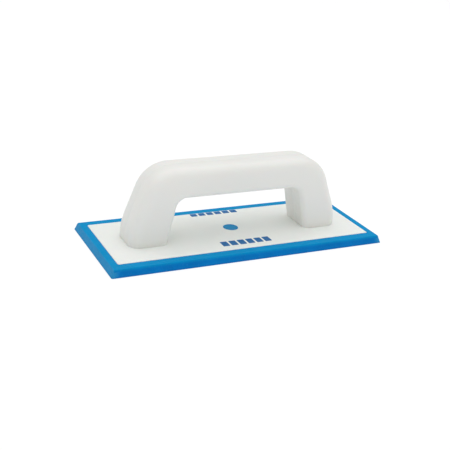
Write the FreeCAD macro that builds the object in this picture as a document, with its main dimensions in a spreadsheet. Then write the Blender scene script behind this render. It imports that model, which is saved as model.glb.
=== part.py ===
"""Rubber-faced hand float: a blue rubber sole moulded round a white backing plate,
and a hollow white handle of two half shells, held by four screws from under the plate.

Millimetres. +X runs along the float, +Y to the rear, +Z up.
The origin is the centre of the rubber working face.
"""

import FreeCAD, Part
import Sketcher
import math
import os

Vector = FreeCAD.Vector

# Driving dimensions: alias, value, what it is.
DIMENSIONS = [
    ("pad_length", 250.0, "rubber sole, overall length at the working face"),
    ("pad_width", 103.0, "rubber sole, overall width at the working face"),
    ("pad_draft", 2.3, "how far each side leans in from the working face to the rim"),
    ("pad_corner", 1.6, "plan radius of the sole's corners"),
    ("rim_height", 6.4, "working face to the top of the rubber rim"),
    ("rim_round", 1.0, "rounding of the rim's outer top edge"),
    ("sole_thickness", 3.0, "rubber between the working face and the plate"),
    ("plate_length", 232.8, "backing plate, visible length"),
    ("plate_width", 81.8, "backing plate, visible width"),
    ("plate_corner", 1.2, "plan radius of the plate's corners"),
    ("plate_proud", 0.35, "how far the plate stands above the rubber rim"),
    ("plate_edge", 0.3, "chamfer of the plate's top edge"),
    ("lip_reach", 1.6, "width of the plate's lip that the rubber rim grips"),
    ("lip_thickness", 1.4, "thickness of that lip"),
    ("plug_offset_x", 2.2, "rubber plug, distance right of the plate's centre"),
    ("plug_offset_y", 3.5, "rubber plug, distance behind the plate's centre"),
    ("plug_head_radius", 6.7, "rubber plug, radius where it shows"),
    ("plug_throat_radius", 4.5, "rubber plug, radius at its waist"),
    ("plug_head_depth", 1.8, "rubber plug, depth of the flared head"),
    ("plug_land", 0.4, "rubber plug, straight part at the top of the head"),
    ("foot_outer", 97.7, "handle, centre to the outer end of a foot"),
    ("handle_top", 71.3, "working face to the top of the grip"),
    ("grip_underside", 45.7, "working face to the underside of the grip"),
    ("handle_half_width", 18.0, "half the handle's width across the grip"),
    ("shoulder_reach", 57.5, "centre to where the grip's straight top ends"),
    ("shoulder_radius", 30.0, "outer radius from the grip's top to the leaning post"),
    ("flare_radius", 54.0, "outer radius that brings the post upright at the foot"),
    ("flare_height", 10.0, "working face to where that radius starts"),
    ("gap_reach", 49.0, "centre to where the finger gap's straight top ends"),
    ("gap_radius", 9.5, "radius in the finger gap's upper corners"),
    ("gap_lean", 12.0, "degrees that the gap's sides lean from upright"),
    ("edge_radius", 9.5, "rounding of the handle's outer long edges"),
    ("gap_edge_radius", 5.0, "rounding of the edges round the finger gap"),
    ("shell_wall", 2.8, "wall of the two handle shells"),
    ("screw_reach", 82.0, "centre to the screws along the float"),
    ("screw_spread", 9.5, "middle plane to the screws across the float"),
    ("screw_radius", 2.1, "self-tapping screw, major radius"),
    ("screw_head_radius", 4.0, "countersunk head, radius"),
    ("screw_length", 16.0, "head face to point"),
    ("screw_point", 3.0, "length of the pointed end"),
    ("recess_width", 1.0, "cross recess, slot width"),
    ("recess_length", 4.4, "cross recess, slot length"),
    ("recess_depth", 1.6, "cross recess, depth"),
    ("hole_clearance", 0.2, "radial clearance of the plate's screw holes"),
    ("thread_clearance", 0.05, "radial clearance between shank and boss bore"),
    ("boss_radius", 5.2, "screw boss, outer radius"),
    ("boss_height", 17.0, "screw boss, height above the foot's underside"),
    ("pilot_depth", 15.0, "boss bore, depth from the foot's underside"),
    ("tongue_length", 14.0, "locating tongue on the plate, along the float"),
    ("tongue_width", 7.0, "locating tongue on the plate, across the float"),
    ("tongue_height", 2.4, "locating tongue, height above the plate"),
    ("tongue_corner", 1.5, "plan radius of the tongue's corners"),
    ("tongue_clearance", 0.15, "gap round the tongue in the foot, each side"),
    ("peg_radius", 2.0, "locating peg between the shells"),
    ("peg_length", 4.0, "how far a peg enters the other shell"),
    ("peg_clearance", 0.1, "radial clearance of a peg in its socket"),
    ("peg_boss_radius", 4.0, "boss that carries a peg or its socket"),
    ("socket_depth", 4.6, "depth of a socket"),
    ("grip_peg_reach", 44.0, "centre to the outer pegs in the grip"),
    ("post_peg_reach", 73.5, "centre to the pegs in the posts"),
    ("post_peg_height", 40.0, "working face to the pegs in the posts"),
]

# Formulas that several sub-parts share.
PLATE_TOP = "dims.rim_height + dims.plate_proud"
PLATE_THICKNESS = "dims.rim_height + dims.plate_proud - dims.sole_thickness"
GRIP_MIDDLE = "(dims.handle_top + dims.grip_underside) / 2"

PLANE_TOLERANCE = 1e-4
SIDES = (-1, 1)


def make_sheet(doc):
    """The spreadsheet of driving dimensions: meaning in A, number in B, aliased."""
    sheet = doc.addObject("Spreadsheet::Sheet", "dims")
    for row, (alias, value, meaning) in enumerate(DIMENSIONS, start=1):
        sheet.set(f"A{row}", meaning)
        sheet.set(f"B{row}", str(value))
        sheet.setAlias(f"B{row}", alias)
    doc.recompute()
    return sheet


def value(formula):
    """The number that a formula of the sheet's cells gives."""
    return float(FreeCAD.ActiveDocument.dims.evalExpression(formula))


# ---------------------------------------------------------------- sketches


def new_body(doc, name):
    body = doc.addObject("PartDesign::Body", name)
    body.Label = name
    return body


def origin_plane(body, role):
    return [feature for feature in body.Origin.OriginFeatures if feature.Role == role][0]


def new_sketch(body, name, role, lift="0", shift="0"):
    """A sketch on an origin plane, lifted along its normal and shifted along its x."""
    sketch = body.newObject("Sketcher::SketchObject", name)
    sketch.AttachmentSupport = [(origin_plane(body, role), "")]
    sketch.MapMode = "FlatFace"
    sketch.setExpression("AttachmentOffset.Base.z", lift)
    sketch.setExpression("AttachmentOffset.Base.x", shift)
    return sketch


def drive(sketch, kind, where, formula):
    """Adds a dimension to the sketch and binds it to a formula of the sheet."""
    index = sketch.addConstraint(Sketcher.Constraint(kind, *where, value(formula)))
    sketch.setExpression(f"Constraints[{index}]", formula)


def hold(sketch, *constraints):
    for constraint in constraints:
        sketch.addConstraint(Sketcher.Constraint(*constraint))


def place(sketch, geometry, point, across, along):
    """Dimensions one point from the sketch's origin; "0" puts it on the axis."""
    for axis, kind, formula in ((-2, "DistanceX", across), (-1, "DistanceY", along)):
        size = value(formula)
        if abs(size) < PLANE_TOLERANCE:
            hold(sketch, ("PointOnObject", geometry, point, axis))
        elif size > 0:
            drive(sketch, kind, (-1, 1, geometry, point), formula)
        else:
            drive(sketch, kind, (geometry, point, -1, 1), f"-({formula})")


def draw_polygon(sketch, corners):
    """A closed outline of straight lines; each corner is a pair of formulas."""
    points = [Vector(value(across), value(along), 0) for across, along in corners]
    count = len(points)
    for index in range(count):
        following = points[(index + 1) % count]
        sketch.addGeometry(Part.LineSegment(points[index], following))
    for index, (across, along) in enumerate(corners):
        hold(sketch, ("Coincident", index, 2, (index + 1) % count, 1))
        place(sketch, index, 1, across, along)


def draw_circle(sketch, across, along, radius):
    centre = Vector(value(across), value(along), 0)
    circle = sketch.addGeometry(Part.Circle(centre, Vector(0, 0, 1), value(radius)))
    place(sketch, circle, 3, across, along)
    drive(sketch, "Radius", (circle,), radius)


def draw_rounded_rectangle(sketch, length, width, corner, across="0"):
    """A rectangle with round corners, centred on the sketch's x axis at `across`."""
    middle = value(across)
    half_length = value(length) / 2
    half_width = value(width) / 2
    radius = value(corner)
    lines = []
    arcs = []
    for turn in range(4):
        angle = turn * math.pi / 2
        outward = Vector(math.sin(angle), -math.cos(angle), 0)
        forward = Vector(math.cos(angle), math.sin(angle), 0)
        reach, run = (half_width, half_length) if turn % 2 == 0 else (half_length, half_width)
        start = outward * reach - forward * (run - radius) + Vector(middle, 0, 0)
        end = outward * reach + forward * (run - radius) + Vector(middle, 0, 0)
        lines.append(sketch.addGeometry(Part.LineSegment(start, end)))
        circle = Part.Circle(end - outward * radius, Vector(0, 0, 1), radius)
        arc = Part.ArcOfCircle(circle, angle - math.pi / 2, angle)
        arcs.append(sketch.addGeometry(arc))
    for turn in range(4):
        direction = "Horizontal" if turn % 2 == 0 else "Vertical"
        following = lines[(turn + 1) % 4]
        hold(
            sketch,
            ("Tangent", lines[turn], 2, arcs[turn], 1),
            ("Tangent", arcs[turn], 2, following, 1),
            (direction, lines[turn]),
        )
    for turn in range(1, 4):
        hold(sketch, ("Equal", arcs[0], arcs[turn]))
    drive(sketch, "Radius", (arcs[0],), corner)
    front, right, rear, left = lines
    drive(sketch, "DistanceX", (left, 1, right, 1), length)
    drive(sketch, "DistanceY", (front, 1, -1, 1), f"({width}) / 2")
    drive(sketch, "DistanceY", (-1, 1, rear, 1), f"({width}) / 2")
    right_reach = f"{across} + ({length}) / 2"
    if value(right_reach) > 0:
        drive(sketch, "DistanceX", (-1, 1, right, 1), right_reach)
    else:
        drive(sketch, "DistanceX", (right, 1, -1, 1), f"-({right_reach})")


# ---------------------------------------------------------------- features


def add_feature(body, kind, name, profile, **settings):
    feature = body.newObject(kind, name)
    feature.Profile = profile
    for key, setting in settings.items():
        setattr(feature, key, setting)
    return feature


def pad(body, name, sketch, length, reversed_way=False):
    feature = add_feature(body, "PartDesign::Pad", name, sketch, Reversed=reversed_way)
    feature.setExpression("Length", length)
    body.Document.recompute()
    return feature


def pocket(body, name, sketch, depth, reversed_way=False):
    """Cuts the sketch's outline and stops if no material was taken away."""
    before = body.Shape.Volume
    feature = add_feature(body, "PartDesign::Pocket", name, sketch, Reversed=reversed_way)
    feature.setExpression("Length", depth)
    body.Document.recompute()
    if feature.Shape.Volume > before - PLANE_TOLERANCE:
        raise RuntimeError(f"{body.Label}: {name} cuts nothing")
    return feature


def dress(body, kind, name, edges, key, size):
    """A fillet or chamfer on the named edges of the body's last feature."""
    base = body.Tip
    feature = body.newObject(kind, name)
    feature.Base = (base, edges)
    feature.setExpression(key, size)
    body.Document.recompute()
    return feature


def edge_names(shape, wanted):
    names = [f"Edge{n}" for n, edge in enumerate(shape.Edges, start=1) if wanted(edge)]
    if not names:
        raise RuntimeError("no edge fits the rule")
    return names


def lies_at(edge, axis, level):
    """True when both bounds of the edge along an axis are at the level."""
    box = edge.BoundBox
    low = getattr(box, f"{axis}Min")
    high = getattr(box, f"{axis}Max")
    return abs(low - level) < 1e-3 and abs(high - level) < 1e-3


def runs_up(edge, height):
    """True when the edge climbs the whole height."""
    return abs(edge.BoundBox.ZLength - height) < 1e-3


# ---------------------------------------------------------------- rubber sole


def plug_outline(body, name):
    """Half section of the rubber plug: a waist, then a head flared like a rivet's."""
    sketch = new_sketch(
        body, name, "XZ_Plane", lift="-dims.plug_offset_y", shift="dims.plug_offset_x"
    )
    flare_start = f"{PLATE_TOP} - dims.plug_head_depth"
    flare_end = f"{PLATE_TOP} - dims.plug_land"
    draw_polygon(
        sketch,
        [
            ("0", "dims.sole_thickness"),
            ("dims.plug_throat_radius", "dims.sole_thickness"),
            ("dims.plug_throat_radius", flare_start),
            ("dims.plug_head_radius", flare_end),
            ("dims.plug_head_radius", PLATE_TOP),
            ("0", PLATE_TOP),
        ],
    )
    return sketch


def make_rubber_pad(doc):
    """Sole with leaning sides, a rim round the plate, a groove for its lip and a plug."""
    body = new_body(doc, "rubber_pad")
    face = new_sketch(body, "WorkingFace", "XY_Plane")
    half_length = "dims.pad_length / 2"
    half_width = "dims.pad_width / 2"
    draw_polygon(
        face,
        [
            (f"-{half_length}", f"-{half_width}"),
            (half_length, f"-{half_width}"),
            (half_length, half_width),
            (f"-{half_length}", half_width),
        ],
    )
    sole = pad(body, "Sole", face, "dims.rim_height")
    sole.setExpression("TaperAngle", "-atan(dims.pad_draft / dims.rim_height)")
    doc.recompute()
    height = value("dims.rim_height")
    corners = edge_names(body.Shape, lambda edge: runs_up(edge, height))
    dress(body, "PartDesign::Fillet", "Corners", corners, "Radius", "dims.pad_corner")
    rim = edge_names(body.Shape, lambda edge: lies_at(edge, "Z", height))
    dress(body, "PartDesign::Fillet", "RimRounding", rim, "Radius", "dims.rim_round")

    recess = new_sketch(body, "PlateRecess", "XY_Plane", lift="dims.rim_height")
    draw_rounded_rectangle(
        recess, "dims.plate_length", "dims.plate_width", "dims.plate_corner"
    )
    pocket(body, "Recess", recess, "dims.rim_height - dims.sole_thickness")

    groove = new_sketch(
        body, "LipOutline", "XY_Plane", lift="dims.sole_thickness + dims.lip_thickness"
    )
    draw_lip(groove)
    pocket(body, "LipGroove", groove, "dims.lip_thickness")

    plug = plug_outline(body, "PlugSection")
    turned = add_feature(
        body, "PartDesign::Revolution", "Plug", plug, ReferenceAxis=(plug, ["V_Axis"])
    )
    turned.Angle = 360
    return body


def draw_lip(sketch):
    draw_rounded_rectangle(
        sketch,
        "dims.plate_length + 2 * dims.lip_reach",
        "dims.plate_width + 2 * dims.lip_reach",
        "dims.plate_corner + dims.lip_reach",
    )


# ---------------------------------------------------------------- backing plate


def draw_screw_circles(sketch, radius, rows=SIDES):
    """A circle at each screw; rows picks the front (-1) and rear (1) ones."""
    for end in SIDES:
        for row in rows:
            draw_circle(
                sketch, f"{end} * dims.screw_reach", f"{row} * dims.screw_spread", radius
            )


def draw_tongues(sketch, gap):
    for end in SIDES:
        draw_rounded_rectangle(
            sketch,
            f"dims.tongue_length + 2 * {gap}",
            f"dims.tongue_width + 2 * {gap}",
            f"dims.tongue_corner + {gap}",
            across=f"{end} * dims.screw_reach",
        )


def make_backing_plate(doc):
    """Plate with a lip all round, two tongues, four countersunk holes and the plug's hole."""
    body = new_body(doc, "backing_plate")
    lip = new_sketch(body, "LipOutline", "XY_Plane", lift="dims.sole_thickness")
    draw_lip(lip)
    pad(body, "Lip", lip, "dims.lip_thickness")

    outline = new_sketch(body, "PlateOutline", "XY_Plane", lift="dims.sole_thickness")
    draw_rounded_rectangle(
        outline, "dims.plate_length", "dims.plate_width", "dims.plate_corner"
    )
    pad(body, "Plate", outline, PLATE_THICKNESS)
    top = value(PLATE_TOP)
    edges = edge_names(body.Shape, lambda edge: lies_at(edge, "Z", top))
    dress(body, "PartDesign::Chamfer", "TopEdge", edges, "Size", "dims.plate_edge")

    tongues = new_sketch(body, "TongueOutlines", "XY_Plane", lift=PLATE_TOP)
    draw_tongues(tongues, "0")
    pad(body, "Tongues", tongues, "dims.tongue_height")

    holes = new_sketch(body, "ScrewHoles", "XY_Plane", lift=PLATE_TOP)
    draw_screw_circles(holes, "dims.screw_radius + dims.hole_clearance")
    pocket(body, "Holes", holes, PLATE_THICKNESS)
    bottom = value("dims.sole_thickness")
    edges = edge_names(
        body.Shape,
        lambda edge: lies_at(edge, "Z", bottom) and isinstance(edge.Curve, Part.Circle)
        and abs(edge.BoundBox.Center.x) < value("dims.foot_outer"),
    )
    dress(
        body, "PartDesign::Chamfer", "Countersinks", edges, "Size",
        "dims.screw_head_radius - dims.screw_radius",
    )

    plug = plug_outline(body, "PlugSection")
    before = body.Shape.Volume
    turned = add_feature(
        body, "PartDesign::Groove", "PlugHole", plug, ReferenceAxis=(plug, ["V_Axis"])
    )
    turned.Angle = 360
    doc.recompute()
    if turned.Shape.Volume > before - PLANE_TOLERANCE:
        raise RuntimeError("backing_plate: the plug's hole cuts nothing")
    return body


# ---------------------------------------------------------------- handle shells


def draw_half_arch(sketch, inset):
    """Right half of the handle seen from the front, with its outline moved in by `inset`.

    All three radii keep their centres, so an inset outline runs parallel to the outer one.
    """
    shoulder_radius = f"dims.shoulder_radius - {inset}"
    flare_radius = f"dims.flare_radius - {inset}"
    gap_radius = f"dims.gap_radius + {inset}"
    shoulder_height = "dims.handle_top - dims.shoulder_radius"
    flare_reach = "dims.foot_outer - dims.flare_radius"
    corner_height = "dims.grip_underside - dims.gap_radius"
    shoulder = Vector(value("dims.shoulder_reach"), value(shoulder_height), 0)
    flare = Vector(value(flare_reach), value("dims.flare_height"), 0)
    corner = Vector(value("dims.gap_reach"), value(corner_height), 0)
    foot = value(f"{PLATE_TOP} + {inset}")

    # The post's outer line touches both outer radii, so it meets them at one angle.
    between = flare - shoulder
    difference = value("dims.flare_radius - dims.shoulder_radius")
    lean = math.atan2(between.y, between.x) + math.acos(-difference / between.Length)
    gap_lean = math.radians(value("dims.gap_lean"))

    def on_arc(centre, radius, angle):
        return centre + Vector(math.cos(angle), math.sin(angle), 0) * value(radius)

    def arc(centre, radius, start, end):
        circle = Part.Circle(centre, Vector(0, 0, 1), value(radius))
        return sketch.addGeometry(Part.ArcOfCircle(circle, start, end))

    def line(start, end):
        return sketch.addGeometry(Part.LineSegment(start, end))

    quarter = math.pi / 2
    top_end = on_arc(shoulder, shoulder_radius, quarter)
    heel_start = on_arc(flare, flare_radius, 0)
    under_start = on_arc(corner, gap_radius, quarter)
    gap_top = on_arc(corner, gap_radius, gap_lean)
    outer_foot = Vector(heel_start.x, foot, 0)
    inner_foot = Vector(gap_top.x + (gap_top.y - foot) * math.tan(gap_lean), foot, 0)

    grip_top = line(Vector(0, top_end.y, 0), top_end)
    shoulder_arc = arc(shoulder, shoulder_radius, lean, quarter)
    post_line = line(
        on_arc(shoulder, shoulder_radius, lean), on_arc(flare, flare_radius, lean)
    )
    flare_arc = arc(flare, flare_radius, 0, lean)
    heel = line(heel_start, outer_foot)
    sole = line(outer_foot, inner_foot)
    gap_line = line(inner_foot, gap_top)
    gap_arc = arc(corner, gap_radius, gap_lean, quarter)
    grip_under = line(under_start, Vector(0, under_start.y, 0))
    middle = line(Vector(0, under_start.y, 0), Vector(0, top_end.y, 0))

    hold(
        sketch,
        ("Coincident", middle, 2, grip_top, 1),
        ("Tangent", grip_top, 2, shoulder_arc, 2),
        ("Tangent", shoulder_arc, 1, post_line, 1),
        ("Tangent", post_line, 2, flare_arc, 2),
        ("Tangent", flare_arc, 1, heel, 1),
        ("Coincident", heel, 2, sole, 1),
        ("Coincident", sole, 2, gap_line, 1),
        ("Tangent", gap_line, 2, gap_arc, 1),
        ("Tangent", gap_arc, 2, grip_under, 1),
        ("Coincident", grip_under, 2, middle, 1),
        ("Horizontal", grip_top),
        ("Horizontal", sole),
        ("Horizontal", grip_under),
        ("Vertical", heel),
        ("PointOnObject", middle, 1, -2),
        ("PointOnObject", middle, 2, -2),
    )
    for curve, radius, across, along in (
        (shoulder_arc, shoulder_radius, "dims.shoulder_reach", shoulder_height),
        (flare_arc, flare_radius, flare_reach, "dims.flare_height"),
        (gap_arc, gap_radius, "dims.gap_reach", corner_height),
    ):
        place(sketch, curve, 3, across, along)
        drive(sketch, "Radius", (curve,), radius)
    drive(sketch, "DistanceY", (-1, 1, heel, 2), f"{PLATE_TOP} + {inset}")
    upright = sketch.addConstraint(
        Sketcher.Constraint("Angle", gap_line, quarter + gap_lean)
    )
    sketch.setExpression(f"Constraints[{upright}]", "(90 + dims.gap_lean) * 1 deg")


def draw_peg_circles(sketch, radius):
    """Three pegs along the grip and one in each post."""
    for end in (-1, 0, 1):
        draw_circle(sketch, f"{end} * dims.grip_peg_reach", GRIP_MIDDLE, radius)
    for end in SIDES:
        draw_circle(
            sketch, f"{end} * dims.post_peg_reach", "dims.post_peg_height", radius
        )


def mirror(body, name, original):
    """Copies a right-hand feature to the left."""
    feature = body.newObject("PartDesign::Mirrored", name)
    feature.Originals = [original]
    feature.MirrorPlane = (origin_plane(body, "YZ_Plane"), [""])
    body.Tip = feature
    body.Document.recompute()
    return feature


def round_contour(body, name, side, depth, thinner):
    """Rounds the arch's long edges that lie `depth` from the middle.

    The edges round the finger gap have a smaller radius than the outer ones. `thinner`
    comes off both radii, so the hollow's roundings run parallel to the outside.
    """
    level = side * value(depth)
    soles = (value(PLATE_TOP), value(f"{PLATE_TOP} + dims.shell_wall"))
    middle = value(GRIP_MIDDLE)
    reach = value("dims.screw_reach")

    def faces_gap(edge):
        box = edge.BoundBox
        return box.ZMax < middle and box.XMax < reach and box.XMin > -reach

    for suffix, radius, inner in (
        ("Outer", "dims.edge_radius", False),
        ("Gap", "dims.gap_edge_radius", True),
    ):
        edges = edge_names(
            body.Shape,
            lambda edge: lies_at(edge, "Y", level)
            and not any(lies_at(edge, "Z", height) for height in soles)
            and faces_gap(edge) == inner,
        )
        size = f"{radius} - {thinner}"
        dress(body, "PartDesign::Fillet", f"{name}{suffix}", edges, "Radius", size)


def make_handle_shell(doc, name, side):
    """One half of the handle: side -1 is the front shell, 1 the rear one.

    The XZ plane's normal points to the front, so the rear shell is padded in reverse.
    """
    is_rear = side > 0
    body = new_body(doc, name)
    arch = new_sketch(body, "HalfArch", "XZ_Plane")
    draw_half_arch(arch, "0")
    half = pad(body, "RightHalf", arch, "dims.handle_half_width", reversed_way=is_rear)
    mirror(body, "WholeArch", half)
    round_contour(body, "LongEdges", side, "dims.handle_half_width", "0")

    hollow = new_sketch(body, "HalfHollow", "XZ_Plane")
    draw_half_arch(hollow, "dims.shell_wall")
    depth = "dims.handle_half_width - dims.shell_wall"
    half = pocket(body, "RightHollow", hollow, depth, reversed_way=not is_rear)
    mirror(body, "WholeHollow", half)
    round_contour(body, "HollowEdges", side, depth, "dims.shell_wall")

    bosses = new_sketch(body, "ScrewBosses", "XY_Plane", lift=PLATE_TOP)
    draw_screw_circles(bosses, "dims.boss_radius", rows=(side,))
    pad(body, "Bosses", bosses, "dims.boss_height")
    pilots = new_sketch(body, "PilotHoles", "XY_Plane", lift=PLATE_TOP)
    draw_screw_circles(pilots, "dims.screw_radius + dims.thread_clearance", rows=(side,))
    pocket(body, "Pilots", pilots, "dims.pilot_depth", reversed_way=True)

    slots = new_sketch(body, "TongueSlots", "XY_Plane", lift=PLATE_TOP)
    draw_tongues(slots, "dims.tongue_clearance")
    pocket(body, "Slots", slots, "dims.shell_wall", reversed_way=True)

    carriers = new_sketch(body, "PegBosses", "XZ_Plane")
    draw_peg_circles(carriers, "dims.peg_boss_radius")
    into_wall = "dims.handle_half_width - dims.shell_wall / 2"
    pad(body, "PegCarriers", carriers, into_wall, reversed_way=is_rear)
    if is_rear:
        sockets = new_sketch(body, "SocketCircles", "XZ_Plane")
        draw_peg_circles(sockets, "dims.peg_radius + dims.peg_clearance")
        pocket(body, "Sockets", sockets, "dims.socket_depth")
    else:
        pegs = new_sketch(body, "PegCircles", "XZ_Plane")
        draw_peg_circles(pegs, "dims.peg_radius")
        pad(body, "Pegs", pegs, "dims.peg_length", reversed_way=True)
    return body


# ---------------------------------------------------------------- screws


def primitive(doc, kind, name, sizes, spot):
    """A Part primitive with every size, and its Placement's base, bound to formulas."""
    solid = doc.addObject(kind, name)
    for key, formula in sizes.items():
        solid.setExpression(key, formula)
    for axis, formula in zip("xyz", spot):
        solid.setExpression(f"Placement.Base.{axis}", formula)
    return solid


def make_screw(doc, tag, across, along):
    """Countersunk screw, head down and flush with the plate's underside, cross recess."""
    bottom = "dims.sole_thickness"
    head_height = "(dims.screw_head_radius - dims.screw_radius)"
    tip_start = "dims.screw_length - dims.screw_point"
    head = primitive(
        doc, "Part::Cone", f"Head{tag}",
        {"Radius1": "dims.screw_head_radius", "Radius2": "dims.screw_radius",
         "Height": head_height},
        (across, along, bottom),
    )
    shank = primitive(
        doc, "Part::Cylinder", f"Shank{tag}",
        {"Radius": "dims.screw_radius", "Height": f"{tip_start} - {head_height}"},
        (across, along, f"{bottom} + {head_height}"),
    )
    point = primitive(
        doc, "Part::Cone", f"Point{tag}",
        {"Radius1": "dims.screw_radius", "Radius2": "dims.screw_radius / 5",
         "Height": "dims.screw_point"},
        (across, along, f"{bottom} + {tip_start}"),
    )
    solid = doc.addObject("Part::MultiFuse", f"Screw{tag}")
    solid.Shapes = [head, shank, point]
    half_length = "dims.recess_length / 2"
    half_width = "dims.recess_width / 2"
    lengthwise = primitive(
        doc, "Part::Box", f"SlotX{tag}",
        {"Length": "dims.recess_length", "Width": "dims.recess_width",
         "Height": "dims.recess_depth"},
        (f"{across} - {half_length}", f"{along} - {half_width}", bottom),
    )
    crosswise = primitive(
        doc, "Part::Box", f"SlotY{tag}",
        {"Length": "dims.recess_width", "Width": "dims.recess_length",
         "Height": "dims.recess_depth"},
        (f"{across} - {half_width}", f"{along} - {half_length}", bottom),
    )
    recess = doc.addObject("Part::MultiFuse", f"Recess{tag}")
    recess.Shapes = [lengthwise, crosswise]
    screw = doc.addObject("Part::Cut", f"RecessedScrew{tag}")
    screw.Base = solid
    screw.Tool = recess
    return screw


def make_handle_screws(doc):
    """The four identical screws, one group of separate solids."""
    screws = []
    for end in SIDES:
        for row in SIDES:
            tag = ("Left", "Right")[end > 0] + ("Front", "Rear")[row > 0]
            across = f"{end} * dims.screw_reach"
            along = f"{row} * dims.screw_spread"
            screws.append(make_screw(doc, tag, across, along))
    group = doc.addObject("Part::Compound", "handle_screws")
    group.Label = "handle_screws"
    group.Links = screws
    return group


# ---------------------------------------------------------------- document


def check(doc, sub_parts):
    """Stops if any object failed, or any sub-part has no valid solid."""
    for thing in doc.Objects:
        if "Invalid" in thing.State or "Error" in thing.State:
            raise RuntimeError(f"{thing.Label} failed: {thing.State}")
    for thing in sub_parts:
        shape = thing.Shape
        if shape.isNull() or not shape.isValid() or not shape.Solids:
            raise RuntimeError(f"{thing.Label} has no valid solid")


def main():
    doc = FreeCAD.newDocument("rubber_float")
    make_sheet(doc)
    sub_parts = [
        make_rubber_pad(doc),
        make_backing_plate(doc),
        make_handle_shell(doc, "handle_front_shell", -1),
        make_handle_shell(doc, "handle_rear_shell", 1),
        make_handle_screws(doc),
    ]
    doc.recompute()
    check(doc, sub_parts)
    os.makedirs("parts", exist_ok=True)
    for thing in sub_parts:
        thing.Shape.exportStep(f"parts/{thing.Label}.step")
        box = thing.Shape.BoundBox
        print(
            f"{thing.Label}: {len(thing.Shape.Solids)} solid(s), "
            f"{thing.Shape.Volume / 1000:.2f} cm3, "
            f"x {box.XMin:.2f} to {box.XMax:.2f}, y {box.YMin:.2f} to {box.YMax:.2f}, "
            f"z {box.ZMin:.2f} to {box.ZMax:.2f}"
        )


main()
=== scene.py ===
"""The look of the rubber-faced hand float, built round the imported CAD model.

Metres. +X runs along the float, +Y to the rear, +Z up, origin at the working face's centre.
"""
import math

import bpy
from mathutils import Matrix, Vector, noise


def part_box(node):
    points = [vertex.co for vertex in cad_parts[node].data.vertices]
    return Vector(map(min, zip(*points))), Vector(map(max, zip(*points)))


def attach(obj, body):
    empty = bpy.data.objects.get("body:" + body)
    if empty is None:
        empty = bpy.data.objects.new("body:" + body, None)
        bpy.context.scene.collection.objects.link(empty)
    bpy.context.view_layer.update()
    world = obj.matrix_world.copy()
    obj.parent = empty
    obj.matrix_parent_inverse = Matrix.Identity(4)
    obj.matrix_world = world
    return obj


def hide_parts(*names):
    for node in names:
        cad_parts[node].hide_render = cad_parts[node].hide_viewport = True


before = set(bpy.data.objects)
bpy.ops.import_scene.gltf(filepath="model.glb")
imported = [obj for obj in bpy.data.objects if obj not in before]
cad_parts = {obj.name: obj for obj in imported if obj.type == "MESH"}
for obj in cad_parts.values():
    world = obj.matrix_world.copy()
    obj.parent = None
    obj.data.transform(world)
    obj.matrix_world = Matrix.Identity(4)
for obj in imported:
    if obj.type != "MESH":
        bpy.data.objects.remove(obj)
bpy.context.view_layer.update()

MM = 0.001

# ------------------------------------------------------------------ sizes from the frame

_, pad_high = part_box("rubber_pad")
plate_low, plate_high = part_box("backing_plate")
shell_low, shell_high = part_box("handle_rear_shell")

PAD_HALF_LENGTH = pad_high.x
PAD_HALF_WIDTH = pad_high.y
FOOT_LEVEL = shell_low.z
GRIP_TOP = shell_high.z
HANDLE_HALF_LENGTH = shell_high.x
HANDLE_HALF_WIDTH = shell_high.y
PLATE_UNDER = plate_low.z

PLATE_PROUD = 0.35 * MM
RIM_LEVEL = FOOT_LEVEL - PLATE_PROUD
LIP_REACH = 1.6 * MM
LIP_THICKNESS = 1.4 * MM
PLATE_HALF_LENGTH = plate_high.x - LIP_REACH
PLATE_HALF_WIDTH = plate_high.y - LIP_REACH
PLATE_CORNER = 1.2 * MM
PAD_DRAFT = 2.3 * MM
PAD_CORNER = 1.6 * MM
RIM_ROUND = 1.0 * MM
PLUG_CENTRE = Vector((2.2 * MM, 3.5 * MM, FOOT_LEVEL))
PLUG_RADIUS = 6.7 * MM

# The sole's mesh: how far in the working face's two rings lie, its small rounded edge, the
# rings up its side and over its ledge, how its corners tighten inwards, how far below the
# rim the painted light on its top reaches, and how high above the floor the painted contact shade
# reaches.
FACE_INSET = 6.0 * MM
FACE_BORDER = 0.9 * MM
FACE_ROUND = 0.25 * MM
SIDE_STEPS = 6
LEDGE_SHARES = (0.3, 0.6, 0.9)
LEDGE_CORNER = 1.2 * MM
LEAST_PAD_CORNER = 0.8 * MM
CORNER_SHRINK = 0.3
RIM_LIGHT_REACH = 2 * RIM_ROUND
SHADE_HEIGHT = 1.5 * MM

# How far the rubber's walls stand off the plate's edge and hole, and the roll of the rim's lip.
# The plate's own hidden lip lies inside the rubber, and its underside rests on the recess's floor.
INLAY_GAP = 0.02 * MM
LIP_ROLL = 0.2 * MM

# How far the moulding is off true, above which level, and how fast it changes.
RIPPLE = 0.06 * MM
RIPPLE_LEVEL = 0.3 * MM
RIPPLE_SCALE = 90.0
RIPPLE_SHIFT = Vector((3.1, 0.7, 0.2))

# The plug: its hidden depth, rolled rim, how low it lies, and its slightly sunken middle.
PLUG_DEPTH = 1.8 * MM
PLUG_ROLL = 0.35 * MM
PLUG_SUNK = 0.03 * MM
PLUG_DISH = ((0.7, 0.08 * MM), (0.4, 0.10 * MM))
PLUG_TIP = 0.11 * MM
PLUG_STEPS = 64
# How much painted light lifts the plug's colour against the handle's shade, as a lighter tint and
# as a pale tint.
PLUG_LIGHT_TINT = 0.7
PLUG_LIGHT_PALE = 0.7

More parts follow.
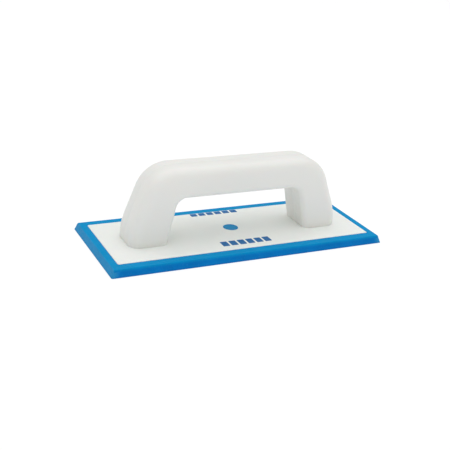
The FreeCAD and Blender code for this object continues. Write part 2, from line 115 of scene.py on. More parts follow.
# The plate: its rolled top edge, the ring inside it, the start of its side, and the plug's hole.
PLATE_ROLL = 0.35 * MM
PLATE_BORDER = 2.0 * MM
PLATE_SKIRT = 1.0 * MM
LEAST_PLATE_CORNER = 0.6 * MM
HOLE_CHAMFER = 0.3 * MM
HOLE_DEPTH = 2.0 * MM
HOLE_GAP = 0.01 * MM
HOLE_SHARES = (0.25, 0.5, 0.7, 0.85, 0.95, 1.0)

# Points along an outline's long side, short side and corner.
LONG_STEPS = 50
SHORT_STEPS = 22
CORNER_STEPS = 6

# Edges that turn by more than this stay sharp.
SHARP_ANGLE = math.radians(40.0)

# How strongly painted sheen lightens the rubber's two short ends, as a lighter tint and a pale
# tint, and how far in from each end it reaches.
END_SHEEN_TINT = 0.7
END_SHEEN_PALE = 0.6
END_REACH = 1.2 * PAD_DRAFT

GRIP_UNDERSIDE = 45.7 * MM
SHOULDER_REACH = 57.5 * MM
SHOULDER_RADIUS = 30.0 * MM
FLARE_RADIUS = 54.0 * MM
FLARE_LEVEL = 10.0 * MM
GAP_REACH = 49.0 * MM
GAP_RADIUS = 9.5 * MM
GAP_LEAN = math.radians(12.0)
EDGE_RADIUS = 9.5 * MM
GAP_EDGE_RADIUS = 5.0 * MM
SHELL_WALL = 2.8 * MM
SEAM_BEVEL = 0.06 * MM
SEAM_GAP = 0.02 * MM
FOOT_ROUND = 0.15 * MM
# Painted shade with a soiled pattern: how far above the foot it fades out, and how strong it stays
# on the grip's underside over the finger gap.
SHADE_AND_GRIME_HEIGHT = 5.0 * MM
GAP_SHADE_AND_GRIME = 0.6
EDGE_STEPS = 12

# Rings along half the grip, its bend, the post and the foot's rounded edge, how far past the
# shoulder the bend runs, and where points lie across the flat front face.
GRIP_STEPS = 12
BEND_STEPS = 24
POST_STEPS = 16
FOOT_STEPS = 4
KNEE_RUN = 7.0 * MM
FACE_SHARES = (0.2, 0.4, 0.6, 0.8)

# Two printed rows of plain blocks on the plate: each row's centre in X and Y, and half its width.
MARK_ROWS = ((1.5 * MM, -28.6 * MM, 4.6 * MM), (1.0 * MM, 37.2 * MM, 3.0 * MM))
MARK_COUNT = 6
MARK_PITCH = 7.9 * MM
MARK_HALF_LENGTH = 3.1 * MM
MARK_CORNER = 0.8 * MM
MARK_SOFT = 0.06 * MM

FLOOR_HALF = 3.0
FLOOR_LEVEL = -0.2 * MM
FLOOR_GLOW = 0.82

SKY_STRENGTH = 0.47
SWEEP_STRENGTH = 0.95
SWEEP_HEIGHT = 0.2
LIGHT_PLACE = Vector((0.1, 0.1, 1.6))
LIGHT_SIZE = 3.2
LIGHT_POWER = 25.0

CAMERA_AZIMUTH = math.radians(27.2)
CAMERA_ELEVATION = math.radians(20.415)
CAMERA_ROLL = math.radians(4.49)
CAMERA_TARGET = Vector((0, 0, 38.7 * MM))
CAMERA_DISTANCE = 755.7 * MM
CAMERA_LENS = 70.1
CAMERA_SENSOR = 36.0
CAMERA_SHIFT = (-0.0171, -0.0675)
CAMERA_NEAR = 0.01


# ------------------------------------------------------------------ node materials


# The Mix node's colour sockets, which share their names with its other kinds.
COLOUR_A, COLOUR_B, COLOUR_OUT = 6, 7, 2


class Nodes:
    """A short way to wire a material's node tree."""

    def __init__(self, name):
        self.material = bpy.data.materials.new(name)
        self.material.use_nodes = True
        self.tree = self.material.node_tree
        self.shader = self.tree.nodes["Principled BSDF"]
        coordinates = self.tree.nodes.new("ShaderNodeTexCoord")
        self.position = coordinates.outputs["Object"]

    def add(self, kind, inputs=None, **settings):
        node = self.tree.nodes.new(kind)
        for key, setting in settings.items():
            setattr(node, key, setting)
        for key, feed in (inputs or {}).items():
            self.feed(node.inputs[key], feed)
        return node

    def feed(self, socket, source):
        if isinstance(source, bpy.types.NodeSocket):
            self.tree.links.new(source, socket)
        else:
            socket.default_value = source

    def stretched(self, scale):
        """The object's own coordinates, stretched per axis."""
        node = self.add("ShaderNodeMapping", {"Vector": self.position, "Scale": scale})
        return node.outputs["Vector"]

    def noise(self, scale, detail=4.0, roughness=0.55, where=None):
        node = self.add(
            "ShaderNodeTexNoise",
            {"Vector": where or self.position, "Scale": scale,
             "Detail": detail, "Roughness": roughness},
        )
        return node.outputs["Fac"]

    def ramp(self, factor, low, high, start=0.0, end=1.0):
        """Maps a value between two places to a range, clamped."""
        node = self.add(
            "ShaderNodeMapRange",
            {"Value": factor, "From Min": start, "From Max": end,
             "To Min": low, "To Max": high},
        )
        return node.outputs["Result"]

    def math(self, operation, first, second=0.0):
        node = self.add("ShaderNodeMath", {0: first, 1: second}, operation=operation)
        return node.outputs["Value"]

    def mix(self, factor, first, second):
        node = self.add("ShaderNodeMix", data_type="RGBA")
        self.feed(node.inputs[0], factor)
        self.feed(node.inputs[COLOUR_A], first)
        self.feed(node.inputs[COLOUR_B], second)
        return node.outputs[COLOUR_OUT]

    def bump(self, height, distance, strength, normal=None):
        inputs = {"Height": height, "Distance": distance, "Strength": strength}
        if normal:
            inputs["Normal"] = normal
        return self.add("ShaderNodeBump", inputs).outputs["Normal"]

    def attribute(self, name):
        return self.add("ShaderNodeAttribute", attribute_name=name).outputs["Fac"]

    def axes(self):
        """The object's own X, Y and Z."""
        node = self.add("ShaderNodeSeparateXYZ", {"Vector": self.position})
        return node.outputs["X"], node.outputs["Y"], node.outputs["Z"]

    def beyond(self, place, reach):
        """How far a signed distance from a middle is past `reach`, or 0."""
        past = self.math("SUBTRACT", self.math("ABSOLUTE", place), reach)
        return self.math("MAXIMUM", past, 0.0)

    def row_of_blocks(self, centre_x, centre_y, half_width):
        """1 inside the printed row's blocks, which stand side by side along X, 0 outside."""
        x, y, _ = self.axes()
        half_row = MARK_PITCH * MARK_COUNT / 2
        along_row = self.math("DIVIDE", self.math("SUBTRACT", x, centre_x - half_row), MARK_PITCH)
        cell = self.math("SUBTRACT", self.math("FRACT", along_row), 0.5)
        in_cell = self.math("MULTIPLY", cell, MARK_PITCH)
        over_x = self.beyond(in_cell, MARK_HALF_LENGTH - MARK_CORNER)
        over_y = self.beyond(self.math("SUBTRACT", y, centre_y), half_width - MARK_CORNER)
        squares = self.math("ADD", self.math("POWER", over_x, 2.0), self.math("POWER", over_y, 2.0))
        distance = self.math("SQRT", squares)
        block = self.ramp(distance, 1.0, 0.0, MARK_CORNER - MARK_SOFT, MARK_CORNER + MARK_SOFT)
        off_row = self.math("ABSOLUTE", self.math("SUBTRACT", x, centre_x))
        return self.math("MULTIPLY", block, self.math("LESS_THAN", off_row, half_row))

    def finish(self, colour, roughness, normal, **values):
        self.feed(self.shader.inputs["Base Color"], colour)
        self.feed(self.shader.inputs["Roughness"], roughness)
        self.feed(self.shader.inputs["Normal"], normal)
        for key, setting in values.items():
            self.shader.inputs[key.replace("_", " ")].default_value = setting
        return self.material


def colour(red, green, blue):
    """Linear colour from an sRGB colour of 0 to 255."""
    channels = []
    for value in (red, green, blue):
        value /= 255
        channels.append(value / 12.92 if value <= 0.04045 else ((value + 0.055) / 1.055) ** 2.4)
    return (*channels, 1.0)


def handle_plastic():
    """Off-white moulded plastic: faint mottling, satin grain, polish and a painted highlight on the
    rounded edges, and painted shade with soiling towards the foot and under the grip.
    """
    n = Nodes("handle_plastic")
    clouds = n.noise(14.0, 3.0, where=n.stretched((1.0, 1.6, 1.6)))
    base = n.mix(
        n.ramp(clouds, 0.0, 1.0, 0.35, 0.65), colour(237, 237, 233), colour(240, 239, 235)
    )
    specks = n.ramp(n.noise(1100.0, 3.0, 0.6), 0.0, 1.0, 0.68, 0.80)
    base = n.mix(n.math("MULTIPLY", specks, 0.10), base, colour(190, 189, 180))
    # Painted shade with a soiled pattern: a speckled warm grey-brown, strongest at the foot and
    # under the grip.
    shade_and_dirt_amount = n.ramp(n.noise(420.0, 6.0, 0.7), 0.06, 0.26, 0.35, 0.80)
    base = n.mix(n.math("MULTIPLY", shade_and_dirt_amount, n.attribute("shade_and_grime")), base, colour(178, 172, 148))
    # Painted highlight: a lighter tone halfway round the rounded edges; the same mask also lowers
    # roughness there, as polish.
    polish_and_highlight = n.attribute("polish_and_highlight")
    base = n.mix(n.math("MULTIPLY", polish_and_highlight, 0.25), base, colour(244, 244, 240))
    rough = n.ramp(n.noise(90.0, 5.0, 0.6), 0.42, 0.54, 0.3, 0.7)
    rough = n.math("SUBTRACT", rough, n.math("MULTIPLY", polish_and_highlight, 0.07))
    scuffs = n.noise(260.0, 2.0, 0.5, where=n.stretched((0.12, 1.0, 1.0)))
    rough = n.math("ADD", rough, n.ramp(scuffs, 0.0, 0.06, 0.60, 0.75))
    normal = n.bump(n.noise(60.0, 2.0, 0.4), distance=0.4 * MM, strength=0.12)
    normal = n.bump(scuffs, distance=0.03 * MM, strength=0.15, normal=normal)
    normal = n.bump(n.noise(700.0, 3.0, 0.5), distance=0.06 * MM, strength=0.30, normal=normal)
    normal = n.bump(n.noise(2600.0, 2.0, 0.5), distance=0.06 * MM, strength=0.60, normal=normal)
    return n.finish(base, rough, normal, Subsurface_Weight=0.08, Subsurface_Scale=0.004, IOR=1.49)


def plate_plastic():
    """White moulded plate with two printed rows of plain blocks."""
    n = Nodes("plate_plastic")
    clouds = n.noise(22.0, 4.0)
    base = n.mix(
        n.ramp(clouds, 0.0, 1.0, 0.35, 0.65), colour(240, 243, 239), colour(244, 246, 242)
    )
    specks = n.ramp(n.noise(1300.0, 3.0, 0.6), 0.0, 1.0, 0.68, 0.80)
    base = n.mix(n.math("MULTIPLY", specks, 0.10), base, colour(190, 192, 188))
    front, rear = (n.row_of_blocks(*row) for row in MARK_ROWS)
    worn_ink = n.ramp(n.noise(900.0, 5.0, 0.7), 0.85, 1.0, 0.30, 0.42)
    ink = n.math("MULTIPLY", n.math("MAXIMUM", front, rear), worn_ink)
    base = n.mix(ink, base, colour(0, 102, 166))
    streak = n.noise(240.0, 3.0, 0.5, where=n.stretched((0.08, 1.0, 1.0)))
    rough = n.ramp(streak, 0.36, 0.50, 0.3, 0.7)
    rough = n.math("SUBTRACT", rough, n.math("MULTIPLY", ink, 0.08))
    normal = n.bump(streak, distance=0.03 * MM, strength=0.30)
    normal = n.bump(n.noise(1800.0, 3.0, 0.6), distance=0.08 * MM, strength=0.60, normal=normal)
    normal = n.bump(ink, distance=0.02 * MM, strength=0.5, normal=normal)
    return n.finish(
        base, rough, normal, Subsurface_Weight=0.06, Subsurface_Scale=0.003, Specular_IOR_Level=0.25
    )


def blue_rubber():
    """Blue moulded rubber: cloudy pigment, matt skin with fine pits, random pale specks, painted
    light on the rim's top, ledge, ends and plug, and painted contact shade near the floor.
    """
    n = Nodes("blue_rubber")
    clouds = n.noise(60.0, 4.0, 0.6)
    base = n.mix(n.ramp(clouds, 0.0, 1.0, 0.3, 0.7), colour(0, 110, 185), colour(0, 123, 200))
    # Painted light: a lighter cyan on the rim's upward-facing top and ledge, the short ends and the
    # plug.
    edge = n.attribute("painted_light")
    base = n.mix(n.math("MULTIPLY", edge, 0.5), base, colour(0, 165, 210))
    dust_and_painted_light = n.ramp(n.noise(700.0, 6.0, 0.7), 0.0, 0.08, 0.55, 0.75)
    # A pale tint: random specks everywhere, plus painted sheen on the short ends and painted light
    # on the plug.
    dust_and_painted_light = n.math("ADD", dust_and_painted_light, n.math("MULTIPLY", n.attribute("dust_and_painted_light"), 0.16))
    base = n.mix(dust_and_painted_light, base, colour(140, 192, 196))
    # Painted contact shade: darker blue towards the floor.
    base = n.mix(n.math("MULTIPLY", n.attribute("shade"), 0.22), base, colour(0, 70, 130))
    rough = n.ramp(n.noise(160.0, 5.0, 0.6), 0.50, 0.66, 0.3, 0.7)
    normal = n.bump(n.noise(45.0, 2.0, 0.5), distance=0.5 * MM, strength=0.10)
    normal = n.bump(n.noise(420.0, 4.0, 0.6), distance=0.15 * MM, strength=0.50, normal=normal)
    normal = n.bump(n.noise(1500.0, 3.0, 0.6), distance=0.1 * MM, strength=0.80, normal=normal)
    return n.finish(base, rough, normal, Specular_IOR_Level=0.06)


def zinc_steel():
    """Zinc-plated screws."""
    n = Nodes("zinc_steel")
    patches = n.noise(900.0, 4.0, 0.6)
    base = n.mix(
        n.ramp(patches, 0.0, 1.0, 0.35, 0.65), colour(170, 172, 168), colour(196, 196, 186)
    )
    brushed = n.noise(3000.0, 2.0, 0.5, where=n.stretched((1.0, 1.0, 0.05)))
    rough = n.ramp(brushed, 0.28, 0.42, 0.3, 0.7)
    normal = n.bump(brushed, distance=0.03 * MM, strength=0.3)
    return n.finish(base, rough, normal, Metallic=1.0)


MATERIALS = {
    "blue_rubber": blue_rubber(),
    "plate_plastic": plate_plastic(),
    "handle_plastic": handle_plastic(),
    "zinc_steel": zinc_steel(),
}


# ------------------------------------------------------------------ meshes


def add_piece(name, points, faces, slot, node, attributes=None):
    """Makes a mesh object that rides on the frame and stands for a CAD node."""
    mesh = bpy.data.meshes.new(name)
    mesh.from_pydata([tuple(p) for p in points], [], faces)
    mesh.validate()
    for key, values in (attributes or {}).items():
        layer = mesh.attributes.new(key, "FLOAT", "POINT")
        layer.data.foreach_set("value", values)
    mesh.shade_smooth()
    mesh.set_sharp_from_angle(angle=SHARP_ANGLE)
    mesh.update()
    piece = bpy.data.objects.new(name, mesh)
    bpy.context.scene.collection.objects.link(piece)
    mesh.materials.append(MATERIALS[slot])
    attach(piece, "root")
    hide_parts(node)


def bridge(first, second, count):
    """Quads between two closed loops of `count` points that start at two indices."""
    return [
        (first + k, first + (k + 1) % count, second + (k + 1) % count, second + k)
        for k in range(count)
    ]


def outline(half_length, half_width, corner, level):
    """A rounded rectangle as a closed loop of points, anticlockwise from above."""
    points = []
    corners = [
        (half_length - corner, half_width - corner, 0),
        (-(half_length - corner), half_width - corner, 90),
        (-(half_length - corner), -(half_width - corner), 180),
        (half_length - corner, -(half_width - corner), 270),
    ]
    for index, (x, y, start) in enumerate(corners):
        for step in range(CORNER_STEPS + 1):
            angle = math.radians(start + 90 * step / CORNER_STEPS)
            points.append(
                Vector((x + corner * math.cos(angle), y + corner * math.sin(angle), level))
            )
        x_next, y_next, _ = corners[(index + 1) % 4]
        turn = math.radians(start + 90)
        off = Vector((corner * math.cos(turn), corner * math.sin(turn), 0))
        a = Vector((x, y, level)) + off
        b = Vector((x_next, y_next, level)) + off
        steps = LONG_STEPS if index % 2 == 0 else SHORT_STEPS
        points += [a.lerp(b, step / steps) for step in range(1, steps)]
    return points


def stacked(loops):
    """Points and quads of equal loops joined one after another."""
    count = len(loops[0])
    points = [p for loop in loops for p in loop]
    faces = []
    for index in range(len(loops) - 1):
        faces += bridge(index * count, (index + 1) * count, count)
    return points, faces


def quarter_turn(steps):
    """Angles from 0 to 90 degrees in even steps."""
    return [math.pi / 2 * step / steps for step in range(steps + 1)]


def round_the_plug(radius, drop, count, start=0.0):
    """A closed loop round the plug's centre, anticlockwise, at a depth under the plate's top."""
    loop = []
    for step in range(count):
        angle = start + 2 * math.pi * step / count
        offset = Vector((radius * math.cos(angle), radius * math.sin(angle), -drop))
        loop.append(PLUG_CENTRE + offset)
    return loop


def sole_side():
    """The sole's outside from the working face to the rim's top: insets and levels."""
    side = [(FACE_INSET, 0.0), (FACE_BORDER, 0.0)]
    for angle in quarter_turn(3):
        side.append((FACE_ROUND * (1 - math.sin(angle)), FACE_ROUND * (1 - math.cos(angle))))
    lean = PAD_DRAFT / RIM_LEVEL
    slope = math.atan(lean)
    rise = RIM_LEVEL - RIM_ROUND * (1 - math.sin(slope))
    for step in range(1, SIDE_STEPS + 1):
        level = FACE_ROUND + (rise - FACE_ROUND) * step / SIDE_STEPS
        side.append((level * lean, level))
    centre_inset = rise * lean + RIM_ROUND * math.cos(slope)
    centre_level = RIM_LEVEL - RIM_ROUND
    for step in range(1, SIDE_STEPS + 1):
        angle = slope + (math.pi / 2 - slope) * step / SIDE_STEPS
        side.append(
            (centre_inset - RIM_ROUND * math.cos(angle), centre_level + RIM_ROUND * math.sin(angle))
        )
    return side


def sole_rings():
    """The sole's rings, from the working face over the rim to the recess's floor.

    Each is half a length, half a width, a corner radius, a level, and how much painted light it
    gets.
    """
    side = sole_side()
    rings = []
    for inset, level in side:
        corner = max(PAD_CORNER - inset * CORNER_SHRINK, LEAST_PAD_CORNER)
        # Painted light, strongest on the rim's upward-facing top and fading down its side; the
        # ledge gets it in full.
        painted_light = 1.0 - min(abs(level - RIM_LEVEL) / RIM_LIGHT_REACH, 1.0)
        rings.append((PAD_HALF_LENGTH - inset, PAD_HALF_WIDTH - inset, corner, level, painted_light))
    rim_x = PAD_HALF_LENGTH - side[-1][0]
    rim_y = PAD_HALF_WIDTH - side[-1][0]
    for share in LEDGE_SHARES:
        half_length = rim_x + (PLATE_HALF_LENGTH - rim_x) * share
        half_width = rim_y + (PLATE_HALF_WIDTH - rim_y) * share
        rings.append((half_length, half_width, LEDGE_CORNER, RIM_LEVEL, 1.0))
    recess_x = PLATE_HALF_LENGTH + INLAY_GAP
    recess_y = PLATE_HALF_WIDTH + INLAY_GAP
    for angle in quarter_turn(3)[1:]:
        off = LIP_ROLL * (1 - math.sin(angle))
        level = RIM_LEVEL - LIP_ROLL * (1 - math.cos(angle))
        rings.append((recess_x + off, recess_y + off, PLATE_CORNER, level, 0.0))
    rings.append((recess_x, recess_y, PLATE_CORNER, PLATE_UNDER, 0.0))
    return rings


def make_rubber_pad():
    """The sole: flat working face, leaning sides, rolled rim, and the recess round the plate."""
    rings = sole_rings()
    points, faces = stacked([outline(*ring[:4]) for ring in rings])
    count = len(points) // len(rings)
    last = len(points) - count
    faces.append(tuple(range(count))[::-1])
    faces.append(tuple(range(last, last + count)))
    for point in points:
        if point.z > RIPPLE_LEVEL:
            point.x += RIPPLE * noise.noise(point * RIPPLE_SCALE)
            point.y += RIPPLE * noise.noise(point * RIPPLE_SCALE + RIPPLE_SHIFT)
    painted_light = [ring[4] for ring in rings for _ in range(count)]
    # The short ends get painted sheen, as a lighter tint and a pale tint.
    dust_and_painted_light = [0.0] * len(points)
    for index, point in enumerate(points):
        if abs(point.x) > PAD_HALF_LENGTH - END_REACH:
            painted_light[index] = max(painted_light[index], END_SHEEN_TINT)
            dust_and_painted_light[index] = END_SHEEN_PALE
    # The masks: painted light on the rim's top, ledge and short ends; painted contact shade, darker
    # towards the floor; and a pale tint of painted sheen on the short ends.
    attributes = {
        "painted_light": painted_light,
        "shade": [max(0.0, 1.0 - point.z / SHADE_HEIGHT) for point in points],
        "dust_and_painted_light": dust_and_painted_light,
    }
    add_piece("rubber_sole", points, faces, "blue_rubber", "rubber_pad", attributes)


def make_plug():
    """The round rubber plug that shows through the plate, with a softened rim."""
    edge = PLUG_RADIUS - INLAY_GAP
    rings = [(edge, PLUG_DEPTH)]
    for angle in quarter_turn(4):
        radius = edge - PLUG_ROLL * (1 - math.cos(angle))
        rings.append((radius, PLUG_SUNK + PLUG_ROLL * (1 - math.sin(angle))))
    rings += [(PLUG_RADIUS * share, drop) for share, drop in PLUG_DISH]
    points, faces = stacked(
        [round_the_plug(radius, drop, PLUG_STEPS) for radius, drop in rings]
    )
    last = len(points) - PLUG_STEPS
    tip = len(points)
    points.append(PLUG_CENTRE - Vector((0, 0, PLUG_TIP)))
    faces += [(last + k, last + (k + 1) % PLUG_STEPS, tip) for k in range(PLUG_STEPS)]
    faces.append(tuple(range(PLUG_STEPS))[::-1])
    count = len(points)
    # The plug's colour is lifted by painted light against the handle's shade, as a lighter tint and
    # a pale tint, with no painted contact shade.
    attributes = {
        "painted_light": [PLUG_LIGHT_TINT] * count, "shade": [0.0] * count, "dust_and_painted_light": [PLUG_LIGHT_PALE] * count
    }
    add_piece("rubber_plug", points, faces, "blue_rubber", "rubber_pad", attributes)


def make_plate():
    """The plate: a softened top edge, and a chamfered round hole for the plug."""
    rings = [
        (-LIP_REACH, PLATE_UNDER),
        (-LIP_REACH, PLATE_UNDER + LIP_THICKNESS),
        (0.0, PLATE_UNDER + LIP_THICKNESS),
        (0.0, RIM_LEVEL - PLATE_SKIRT),
    ]
    for angle in quarter_turn(4):
        rings.append(
            (PLATE_ROLL * (1 - math.cos(angle)), FOOT_LEVEL - PLATE_ROLL * (1 - math.sin(angle)))
        )
    rings.append((PLATE_BORDER, FOOT_LEVEL))
    loops = []
    for inset, level in rings:
        corner = max(PLATE_CORNER - inset, LEAST_PLATE_CORNER)
        loops.append(
            outline(PLATE_HALF_LENGTH - inset, PLATE_HALF_WIDTH - inset, corner, level)
        )
    border = loops[-1]
    count = len(border)
    toward = border[0] - PLUG_CENTRE
    start = math.atan2(toward.y, toward.x)
    rim = round_the_plug(PLUG_RADIUS + HOLE_CHAMFER, 0.0, count, start)
    for share in HOLE_SHARES:
        loops.append([far.lerp(near, share) for far, near in zip(border, rim)])
    for drop in (HOLE_CHAMFER, HOLE_DEPTH):
        loops.append(round_the_plug(PLUG_RADIUS + HOLE_GAP, drop, count, start))
    points, faces = stacked(loops)
    last = len(points) - count
    faces.append(tuple(range(count))[::-1])
    faces.append(tuple(range(last, last + count)))
    add_piece("plate", points, faces, "plate_plastic", "backing_plate")


# ------------------------------------------------------------------ handle


def polar(centre, radius, angle):
    """The point at a radius and angle round a centre, in the XZ plane."""
    return Vector((centre[0] + radius * math.cos(angle), centre[1] + radius * math.sin(angle)))


class Contour:
    """A chain of lines and arcs in the XZ plane, read by distance along it."""

    def __init__(self, spans):
        self.spans = spans
        self.length = sum(span[0] for span in spans)

    def at(self, distance):
        """Point and outward-turned normal at a distance from the start."""
        for length, reader in self.spans:
            if distance <= length:
                return reader(distance)
            distance -= length
        length, reader = self.spans[-1]
        return reader(length)


def line_span(start, end):
    """A straight line."""
    run = end - start
    normal = Vector((-run.y, run.x)).normalized()
    return run.length, lambda d: (start + run * (d / run.length), normal)


def arc_span(centre, radius, start, end):
    """An arc run clockwise from angle `start` down to `end`."""
    length = radius * (start - end)

    def read(distance):
        angle = start - distance / radius
        return polar(centre, radius, angle), Vector((math.cos(angle), math.sin(angle)))

    return length, read


def leaning_span(start, end):
    """The gap's leaning side, whose sections turn level on the way down to the foot.

    The direction into the wall is lengthened as it turns, so that depths stay true.
    """
    run = end - start

    def read(distance):
        share = distance / run.length
        tilt = GAP_LEAN * (1 - share)
        return start + run * share, polar((0, 0), 1 / math.cos(GAP_LEAN - tilt), tilt)

    return run.length, read


def outer_contour(foot_level):
    """Right half of the handle's outside, from the grip's middle to the foot."""
    shoulder = (SHOULDER_REACH, GRIP_TOP - SHOULDER_RADIUS)
    flare = (HANDLE_HALF_LENGTH - FLARE_RADIUS, FLARE_LEVEL)
    between = Vector(flare) - Vector(shoulder)
    lean = math.atan2(between.y, between.x) + math.acos(
        -(FLARE_RADIUS - SHOULDER_RADIUS) / between.length
    )
    return Contour([
        line_span(Vector((0.0, GRIP_TOP)), Vector((SHOULDER_REACH, GRIP_TOP))),
        arc_span(shoulder, SHOULDER_RADIUS, math.pi / 2, lean),
        line_span(polar(shoulder, SHOULDER_RADIUS, lean), polar(flare, FLARE_RADIUS, lean)),
        arc_span(flare, FLARE_RADIUS, lean, 0.0),
        line_span(
            Vector((HANDLE_HALF_LENGTH, FLARE_LEVEL)), Vector((HANDLE_HALF_LENGTH, foot_level))
        ),
    ])


def inner_contour(foot_level):
    """Right half of the finger gap's outline, from the grip's middle to the foot."""
    corner = (GAP_REACH, GRIP_UNDERSIDE - GAP_RADIUS)
    end = polar(corner, GAP_RADIUS, GAP_LEAN)
    foot = Vector((end.x + (end.y - foot_level) * math.tan(GAP_LEAN), foot_level))
    return Contour([
        line_span(Vector((0.0, GRIP_UNDERSIDE)), Vector((GAP_REACH, GRIP_UNDERSIDE))),
        arc_span(corner, GAP_RADIUS, math.pi / 2, GAP_LEAN),
        leaning_span(end, foot),
    ])


def arch_stations(outer, inner):
    """Matching distances along the outer and inner contours, and how far the foot is rounded in."""
    grip_end = GAP_REACH
    bend_end = GAP_REACH + GAP_RADIUS * (math.pi / 2 - GAP_LEAN)
    knee = SHOULDER_REACH + outer.spans[1][0] + KNEE_RUN
    stations = []
    for step in range(GRIP_STEPS):
        along = grip_end * step / GRIP_STEPS
        stations.append((along, along, 0.0))
    for step in range(BEND_STEPS):
        share = step / BEND_STEPS
        stations.append(
            (grip_end + (knee - grip_end) * share, grip_end + (bend_end - grip_end) * share, 0.0)
        )
    outer_left = outer.length - FOOT_ROUND - knee
    inner_left = inner.length - FOOT_ROUND / math.cos(GAP_LEAN) - bend_end
    for step in range(POST_STEPS + 1):
        share = step / POST_STEPS
        stations.append((knee + outer_left * share, bend_end + inner_left * share, 0.0))
    for angle in quarter_turn(FOOT_STEPS)[1:]:
        down = FOOT_ROUND * (1 - math.sin(angle))
        stations.append(
            (outer.length - down, inner.length - down / math.cos(GAP_LEAN),
             FOOT_ROUND * (1 - math.cos(angle)))
        )
    return stations


def skin_profile(radius, inset):
    """A shell's outer section from the seam to its flat side.

    Each point is a depth under the contour, a distance from the middle plane, and how
    much hands polish there, which also sets a painted highlight; both are most halfway round the
    edge.
    """
    flat = HANDLE_HALF_WIDTH - radius
    points = [
        (inset + SEAM_BEVEL, SEAM_GAP, 0.0),
        (inset + 0.3 * SEAM_BEVEL, SEAM_GAP + 0.3 * SEAM_BEVEL, 0.0),
        (inset, SEAM_GAP + SEAM_BEVEL, 0.0),
        (inset, 0.5 * flat, 0.0),
    ]
    reach = radius - inset
    for angle in quarter_turn(EDGE_STEPS):
        depth = inset + reach * (1 - math.cos(angle))
        points.append((depth, flat + reach * math.sin(angle), math.sin(2 * angle)))
    return points


def hollow_profile(radius):
    """The inside of the same section, one wall deeper."""
    flat = HANDLE_HALF_WIDTH - radius
    points = [(SHELL_WALL, SEAM_GAP, 0.0), (SHELL_WALL, 0.5 * flat, 0.0)]
    reach = radius - SHELL_WALL
    for angle in quarter_turn(EDGE_STEPS):
        depth = SHELL_WALL + reach * (1 - math.cos(angle))
        points.append((depth, flat + reach * math.sin(angle), 0.0))
    return points


def section(contour, distance, inward, profile):
    """A profile's points, laid from a contour into the wall at a distance along it."""
    place, normal = contour.at(distance)
    return [(place + inward * normal * depth, across, rub) for depth, across, rub in profile]


def make_shell(name, node, side):
    """One hollow half of the handle, swept along the arch from the left foot to the right.

    Each ring goes round the outside and back round the hollow, which stops one wall above
    the foot.
    """
    outer = outer_contour(FOOT_LEVEL)
    inner = inner_contour(FOOT_LEVEL)
    outer_short = outer_contour(FOOT_LEVEL + SHELL_WALL)
    inner_short = inner_contour(FOOT_LEVEL + SHELL_WALL)
    stations = arch_stations(outer, inner)
    walk = [(-1, station) for station in reversed(stations)]
    walk += [(1, station) for station in stations[1:]]
    points = []
    polish_and_highlight = []
    shade_and_grime = []
    for hand, (along_outer, along_inner, inset) in walk:
        skin = section(outer, along_outer, -1, skin_profile(EDGE_RADIUS, inset))
        under = section(inner, along_inner, 1, skin_profile(GAP_EDGE_RADIUS, inset))
        start, across, _ = skin[-1]
        end = under[-1][0]
        face = [(start.lerp(end, share), across, 0.0) for share in FACE_SHARES]
        outside = skin + face + under[::-1]
        hollow = section(
            inner_short, along_inner * inner_short.length / inner.length, 1,
            hollow_profile(GAP_EDGE_RADIUS),
        )
        hollow += section(
            outer_short, along_outer * outer_short.length / outer.length, -1,
            hollow_profile(EDGE_RADIUS),
        )[::-1]
        outside_size = len(outside)
        ring_size = outside_size + len(hollow)
        gap_side = range(outside_size - EDGE_STEPS // 2, outside_size)
        for index, (place, across, rub) in enumerate(outside + hollow):
            points.append(Vector((hand * place.x, side * across, place.y)))
            # Painted shade with soiling: strongest at the foot and fading upwards, held on the
            # grip's underside over the finger gap; the hollow gets none.
            height = (place.y - FOOT_LEVEL) / SHADE_AND_GRIME_HEIGHT
            under_grip_shade = GAP_SHADE_AND_GRIME if index in gap_side else 0.0
            shade_and_grime.append(max(under_grip_shade, 1.0 - height) if index < outside_size else 0.0)
            polish_and_highlight.append(rub)
    faces = []
    for station in range(len(walk) - 1):
        faces += bridge(station * ring_size, (station + 1) * ring_size, ring_size)
    for first, turn in ((0, -1), (len(points) - ring_size, 1)):
        sole = list(range(first, first + outside_size))
        floor = list(range(first + outside_size, first + ring_size))
        seam = [sole[0], sole[-1], floor[0], floor[-1]]
        faces += [tuple(face[::turn]) for face in (sole, floor, seam)]
    if side > 0:
        faces = [face[::-1] for face in faces]
    attributes = {"polish_and_highlight": polish_and_highlight, "shade_and_grime": shade_and_grime}
    add_piece(name, points, faces, "handle_plastic", node, attributes)


make_rubber_pad()
make_plug()
make_plate()
make_shell("front_shell", "handle_front_shell", -1)
make_shell("rear_shell", "handle_rear_shell", 1)
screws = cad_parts["handle_screws"]
screws.data.materials.clear()
screws.data.materials.append(MATERIALS["zinc_steel"])


# ------------------------------------------------------------------ floor, light, camera


def make_floor():
    """A plain pale floor that runs out of view."""
    mesh = bpy.data.meshes.new("floor")
    corners = [
        (side_x * FLOOR_HALF, side_y * FLOOR_HALF, FLOOR_LEVEL)
        for side_x, side_y in ((-1, -1), (1, -1), (1, 1), (-1, 1))
    ]
    mesh.from_pydata(corners, [], [(0, 1, 2, 3)])
    floor = bpy.data.objects.new("floor", mesh)
    bpy.context.scene.collection.objects.link(floor)
    n = Nodes("floor_paper")
    patches = n.ramp(n.noise(3.0, 2.0), 0.0, 1.0, 0.3, 0.7)
    tone = n.mix(patches, (0.20, 0.20, 0.20, 1.0), (0.22, 0.22, 0.22, 1.0))
    material = n.finish(tone, 0.9, n.bump(n.noise(300.0), distance=0.1 * MM, strength=0.05))
    n.shader.inputs["Emission Color"].default_value = (1.0, 1.0, 1.0, 1.0)
    n.shader.inputs["Emission Strength"].default_value = FLOOR_GLOW
    mesh.materials.append(material)


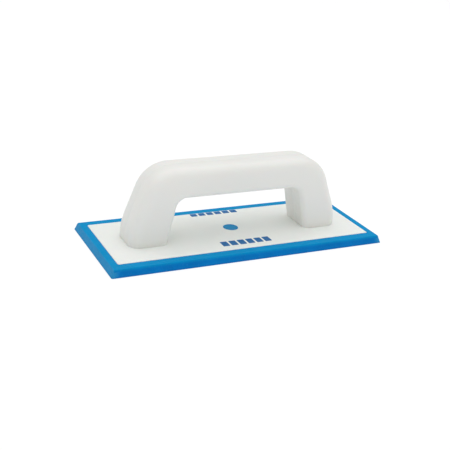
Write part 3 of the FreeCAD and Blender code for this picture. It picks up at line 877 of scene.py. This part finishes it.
def make_sky():
    """An even white sky, brighter at the horizon like a paper sweep."""
    world = bpy.data.worlds.new("studio")
    world.use_nodes = True
    tree = world.node_tree
    direction = tree.nodes.new("ShaderNodeTexCoord")
    height = tree.nodes.new("ShaderNodeSeparateXYZ")
    strength = tree.nodes.new("ShaderNodeMapRange")
    strength.inputs["From Max"].default_value = SWEEP_HEIGHT
    strength.inputs["To Min"].default_value = SWEEP_STRENGTH
    strength.inputs["To Max"].default_value = SKY_STRENGTH
    background = tree.nodes["Background"]
    background.inputs["Color"].default_value = (1.0, 1.0, 1.0, 1.0)
    tree.links.new(direction.outputs["Generated"], height.inputs["Vector"])
    tree.links.new(height.outputs["Z"], strength.inputs["Value"])
    tree.links.new(strength.outputs["Result"], background.inputs["Strength"])
    bpy.context.scene.world = world


def make_light():
    """A large round soft box overhead, aimed at the float."""
    data = bpy.data.lights.new("overhead", "AREA")
    data.shape = "DISK"
    data.size = LIGHT_SIZE
    data.energy = LIGHT_POWER
    light = bpy.data.objects.new("overhead", data)
    light.location = LIGHT_PLACE
    light.rotation_euler = (-LIGHT_PLACE).to_track_quat("-Z", "Y").to_euler()
    bpy.context.scene.collection.objects.link(light)


def make_camera():
    """The photograph's viewing angle, framing and slight tilt of the picture."""
    back = Vector((
        -math.sin(CAMERA_AZIMUTH) * math.cos(CAMERA_ELEVATION),
        -math.cos(CAMERA_AZIMUTH) * math.cos(CAMERA_ELEVATION),
        math.sin(CAMERA_ELEVATION),
    ))
    data = bpy.data.cameras.new("camera")
    data.sensor_width = CAMERA_SENSOR
    data.lens = CAMERA_LENS
    data.shift_x, data.shift_y = CAMERA_SHIFT
    data.clip_start = CAMERA_NEAR
    camera = bpy.data.objects.new("camera", data)
    camera.rotation_mode = "QUATERNION"
    camera.location = CAMERA_TARGET + back * CAMERA_DISTANCE
    roll = Matrix.Rotation(CAMERA_ROLL, 4, "Z").to_quaternion()
    camera.rotation_quaternion = (-back).to_track_quat("-Z", "Y") @ roll
    bpy.context.scene.collection.objects.link(camera)
    bpy.context.scene.camera = camera


make_floor()
make_sky()
make_light()
make_camera()
bpy.context.scene.view_settings.view_transform = "Standard"
